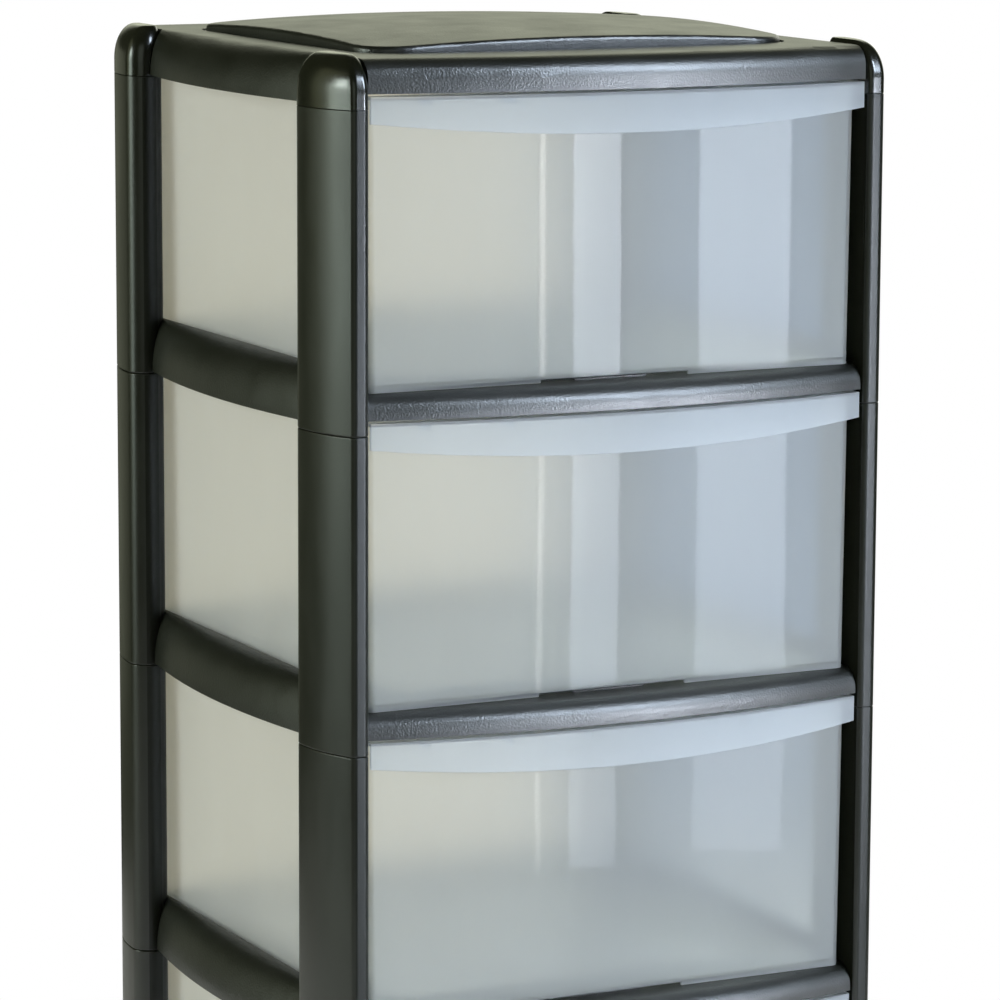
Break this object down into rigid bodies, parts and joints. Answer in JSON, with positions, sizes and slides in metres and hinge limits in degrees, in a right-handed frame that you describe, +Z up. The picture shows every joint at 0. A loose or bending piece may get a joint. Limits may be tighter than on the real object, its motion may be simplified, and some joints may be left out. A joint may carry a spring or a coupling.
{
  "type": "drawer tower",
  "caption": "Tall free-standing tower of dark hollow corner posts and moulded frames, with see-through sliding drawers under a crowned top, for craft supplies and parts.",
  "frame": {"origin": "on the floor, under the middle of the overall box, drawer lips included", "axes": "+Z up, the drawers open along -Y, +X to the right of someone facing them from behind -Y"},
  "size_m": [0.3972, 0.404, 0.854],
  "materials": {
    "post_plastic": "satin",
    "grained_plastic": "fine moulded grain",
    "frosted_plastic": "translucent, frosted inside"
  },
  "bodies": {
    "tower": {"top_panel": "grained_plastic", "frame_1": "grained_plastic", "frame_2": "grained_plastic", "frame_3": "grained_plastic", "base_frame": "grained_plastic", "cap_front_left": "post_plastic", "cap_front_right": "post_plastic", "cap_back_left": "post_plastic", "cap_back_right": "post_plastic", "foot_front_left": "post_plastic", "foot_front_right": "post_plastic", "foot_back_left": "post_plastic", "foot_back_right": "post_plastic", "post_1_front_left": "post_plastic", "post_1_front_right": "post_plastic", "post_1_back_left": "post_plastic", "post_1_back_right": "post_plastic", "post_2_front_left": "post_plastic", "post_2_front_right": "post_plastic", "post_2_back_left": "post_plastic", "post_2_back_right": "post_plastic", "post_3_front_left": "post_plastic", "post_3_front_right": "post_plastic", "post_3_back_left": "post_plastic", "post_3_back_right": "post_plastic", "post_4_front_left": "post_plastic", "post_4_front_right": "post_plastic", "post_4_back_left": "post_plastic", "post_4_back_right": "post_plastic"},
    "drawer_1": {"drawer_1": "frosted_plastic"},
    "drawer_2": {"drawer_2": "frosted_plastic"},
    "drawer_3": {"drawer_3": "frosted_plastic"},
    "drawer_4": {"drawer_4": "frosted_plastic"}
  },
  "joints": [
    {"name": "drawer_1_slide", "type": "slide", "parent": "tower", "child": "drawer_1", "axis": [0, -1, 0], "range_m": [0, 0.295]},
    {"name": "drawer_2_slide", "type": "slide", "parent": "tower", "child": "drawer_2", "axis": [0, -1, 0], "range_m": [0, 0.295]},
    {"name": "drawer_3_slide", "type": "slide", "parent": "tower", "child": "drawer_3", "axis": [0, -1, 0], "range_m": [0, 0.295]},
    {"name": "drawer_4_slide", "type": "slide", "parent": "tower", "child": "drawer_4", "axis": [0, -1, 0], "range_m": [0, 0.295]}
  ]
}
